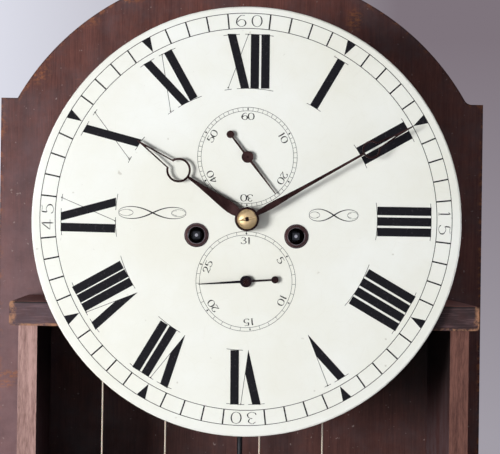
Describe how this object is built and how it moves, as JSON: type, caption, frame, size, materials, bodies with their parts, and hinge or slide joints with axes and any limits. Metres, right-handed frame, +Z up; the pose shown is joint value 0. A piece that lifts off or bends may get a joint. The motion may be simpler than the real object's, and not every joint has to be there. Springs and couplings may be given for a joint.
{
  "type": "longcase clock",
  "caption": "Longcase clock with round painted dial, seconds and date hands, two-train rack-striking movement, weights, pendulum, trunk door and plinth; hood removed.",
  "frame": {"origin": "on the floor under the middle of the case", "axes": "+Z up, the dial and the door face -Y, +X to the right as seen from the front"},
  "size_m": [0.45, 0.232, 1.9943],
  "materials": {
    "stained_backboard": "dark red-brown stain, matt and worn",
    "case_wood": "stained and waxed, worn at the edges",
    "seat_wood": "rough stained board, dusty",
    "dial_paint": "white japanned iron, satin",
    "dark_steel": "dark bronzed steel",
    "blued_steel": "dark blued steel, polished",
    "steel": "filed and polished steel",
    "iron_wire": "dull drawn iron",
    "brass": "hammered and filed brass, aged",
    "bell_metal": "cast and turned bell metal",
    "gut": "twisted natural gut",
    "weight_iron": "rough cast iron, blackened"
  },
  "bodies": {
    "case": {"backboard": "stained_backboard", "trunk_side_left": "case_wood", "trunk_side_right": "case_wood", "trunk_front": "case_wood", "throat_moulding": "case_wood", "trunk_base_moulding": "case_wood", "plinth_box": "case_wood", "skirting": "case_wood", "door_hinges": "brass", "seatboard": "seat_wood", "seatboard_hooks": "steel", "dial": "dial_paint", "grommets": "dark_steel", "front_plate": "brass", "back_plate": "brass", "pillars": "brass", "back_cock": "brass", "bell_stand": "steel", "bell": "bell_metal", "hour_bridge": "brass"},
    "door_leaf": {"door": "case_wood", "door_leaves": "brass", "door_lock": "brass"},
    "minute_work": {"centre_arbor": "brass", "cannon_wheel": "brass", "minute_hand": "blued_steel", "hand_cap": "brass"},
    "hour_work": {"hour_wheel": "brass", "hour_hand": "blued_steel"},
    "reverse_work": {"reverse_wheel": "brass"},
    "third_work": {"third_arbor": "brass"},
    "escape_work": {"escape_arbor": "brass", "seconds_hand": "blued_steel"},
    "anchor_work": {"anchor": "steel"},
    "pendulum": {"pendulum_rod": "iron_wire", "pendulum_bob": "brass", "rating_nut": "brass"},
    "going_great": {"going_great_wheel": "brass"},
    "going_drum": {"going_barrel": "brass"},
    "strike_great": {"strike_great_wheel": "brass"},
    "strike_drum": {"strike_barrel": "brass"},
    "pin_wheel_work": {"pin_wheel_arbor": "brass"},
    "gathering_work": {"gathering_arbor": "brass"},
    "warning_work": {"warning_arbor": "brass"},
    "fly_work": {"fly": "brass"},
    "hammer_work": {"hammer": "steel"},
    "rack_work": {"rack": "steel"},
    "rack_hook_work": {"rack_hook": "steel"},
    "lifting_work": {"lifting_piece": "steel"},
    "day_work": {"date_driver": "brass"},
    "date_work": {"date_wheel": "brass", "date_hand": "blued_steel"},
    "going_load": {"going_weight": "weight_iron", "going_stirrup": "steel", "going_line": "gut"},
    "strike_load": {"strike_weight": "weight_iron", "strike_stirrup": "steel", "strike_line": "gut"},
    "going_pulley_work": {"going_pulley": "brass"},
    "strike_pulley_work": {"strike_pulley": "brass"}
  },
  "joints": [
    {"name": "door_hinge", "type": "hinge", "parent": "case", "child": "door_leaf", "pos_m": [0.1186, -0.0684, 1.04], "axis": [0, 0, 1], "range_deg": [0, 110]},
    {"name": "escape_turn", "type": "hinge", "parent": "case", "child": "escape_work", "pos_m": [0, 0, 1.8277], "axis": [0, 1, 0], "continuous": true},
    {"name": "third_turn", "type": "hinge", "parent": "case", "child": "third_work", "pos_m": [0.00876, 0, 1.80575], "axis": [0, 1, 0], "continuous": true},
    {"name": "minute_turn", "type": "hinge", "parent": "case", "child": "minute_work", "pos_m": [0, 0, 1.78], "axis": [0, 1, 0], "continuous": true},
    {"name": "hour_turn", "type": "hinge", "parent": "case", "child": "hour_work", "pos_m": [0, 0, 1.78], "axis": [0, 1, 0], "continuous": true},
    {"name": "reverse_turn", "type": "hinge", "parent": "case", "child": "reverse_work", "pos_m": [0.02425, 0, 1.794], "axis": [0, 1, 0], "continuous": true},
    {"name": "going_great_turn", "type": "hinge", "parent": "case", "child": "going_great", "pos_m": [0.0383, 0, 1.7674], "axis": [0, 1, 0], "continuous": true},
    {"name": "day_turn", "type": "hinge", "parent": "case", "child": "day_work", "pos_m": [0.01247, 0, 1.7533], "axis": [0, 1, 0], "continuous": true},
    {"name": "date_turn", "type": "hinge", "parent": "case", "child": "date_work", "pos_m": [0, 0, 1.7324], "axis": [0, 1, 0], "continuous": true},
    {"name": "fly_turn", "type": "hinge", "parent": "case", "child": "fly_work", "pos_m": [-0.0305, 0, 1.84453], "axis": [0, 1, 0], "continuous": true},
    {"name": "warning_turn", "type": "hinge", "parent": "case", "child": "warning_work", "pos_m": [-0.034, 0, 1.83305], "axis": [0, 1, 0], "continuous": true},
    {"name": "gathering_turn", "type": "hinge", "parent": "case", "child": "gathering_work", "pos_m": [-0.024, 0, 1.81955], "axis": [0, 1, 0], "continuous": true},
    {"name": "pin_wheel_turn", "type": "hinge", "parent": "case", "child": "pin_wheel_work", "pos_m": [-0.032, 0, 1.799], "axis": [0, 1, 0], "continuous": true},
    {"name": "strike_great_turn", "type": "hinge", "parent": "case", "child": "strike_great", "pos_m": [-0.0383, 0, 1.7674], "axis": [0, 1, 0], "continuous": true},
    {"name": "going_winding", "type": "hinge", "parent": "case", "child": "going_drum", "pos_m": [0.0383, 0, 1.7674], "axis": [0, 1, 0], "range_deg": [0, 5389]},
    {"name": "strike_winding", "type": "hinge", "parent": "case", "child": "strike_drum", "pos_m": [-0.0383, 0, 1.7674], "axis": [0, 1, 0], "range_deg": [0, 5389]},
    {"name": "going_weight_rise", "type": "slide", "parent": "case", "child": "going_load", "axis": [0, 0, 1], "range_m": [0, 1.1], "deforming": ["going_line"]},
    {"name": "strike_weight_rise", "type": "slide", "parent": "case", "child": "strike_load", "axis": [0, 0, 1], "range_m": [0, 1.1], "deforming": ["strike_line"]},
    {"name": "going_pulley_turn", "type": "hinge", "parent": "going_load", "child": "going_pulley_work", "pos_m": [0.03915, -0.006, 0.56], "axis": [0, 1, 0], "range_deg": [0, 2601]},
    {"name": "strike_pulley_turn", "type": "hinge", "parent": "strike_load", "child": "strike_pulley_work", "pos_m": [-0.08595, -0.006, 0.56], "axis": [0, 1, 0], "range_deg": [-2601, 0]},
    {"name": "pendulum_swing", "type": "hinge", "parent": "case", "child": "pendulum", "pos_m": [0, 0, 1.85598], "axis": [0, 1, 0], "range_deg": [-3, 3]},
    {"name": "anchor_rock", "type": "hinge", "parent": "case", "child": "anchor_work", "pos_m": [0, 0, 1.85598], "axis": [0, 1, 0], "range_deg": [-3, 3]},
    {"name": "hammer_lift", "type": "hinge", "parent": "case", "child": "hammer_work", "pos_m": [-0.058, 0, 1.814], "axis": [0, 1, 0], "range_deg": [-12, 0]},
    {"name": "rack_fall", "type": "hinge", "parent": "case", "child": "rack_work", "pos_m": [-0.054, 0, 1.742], "axis": [0, 1, 0], "range_deg": [-13.8, 0]},
    {"name": "rack_hook_lift", "type": "hinge", "parent": "case", "child": "rack_hook_work", "pos_m": [0.004, 0, 1.846], "axis": [0, 1, 0], "range_deg": [0, 8]},
    {"name": "lifting_piece_lift", "type": "hinge", "parent": "case", "child": "lifting_work", "pos_m": [0.054, 0, 1.81], "axis": [0, 1, 0], "range_deg": [0, 5]}
  ],
  "couplings": [
    {"joint": "third_turn", "follows": "escape_turn", "ratio": -0.125},
    {"joint": "minute_turn", "follows": "escape_turn", "ratio": 0.016667},
    {"joint": "hour_turn", "follows": "escape_turn", "ratio": 0.0013889},
    {"joint": "reverse_turn", "follows": "escape_turn", "ratio": -0.016667},
    {"joint": "going_great_turn", "follows": "escape_turn", "ratio": -0.0013889},
    {"joint": "day_turn", "follows": "escape_turn", "ratio": -0.00069444},
    {"joint": "warning_turn", "follows": "fly_turn", "ratio": -0.14286},
    {"joint": "gathering_turn", "follows": "fly_turn", "ratio": 0.020408},
    {"joint": "pin_wheel_turn", "follows": "fly_turn", "ratio": -0.002551},
    {"joint": "strike_great_turn", "follows": "fly_turn", "ratio": 0.00024295},
    {"joint": "going_winding", "follows": "going_weight_rise", "rad_per_m": 85.47},
    {"joint": "strike_winding", "follows": "strike_weight_rise", "rad_per_m": 85.47},
    {"joint": "going_pulley_turn", "follows": "going_weight_rise", "rad_per_m": 41.237},
    {"joint": "strike_pulley_turn", "follows": "strike_weight_rise", "rad_per_m": -41.237},
    {"joint": "anchor_rock", "follows": "pendulum_swing", "ratio": 1}
  ]
}
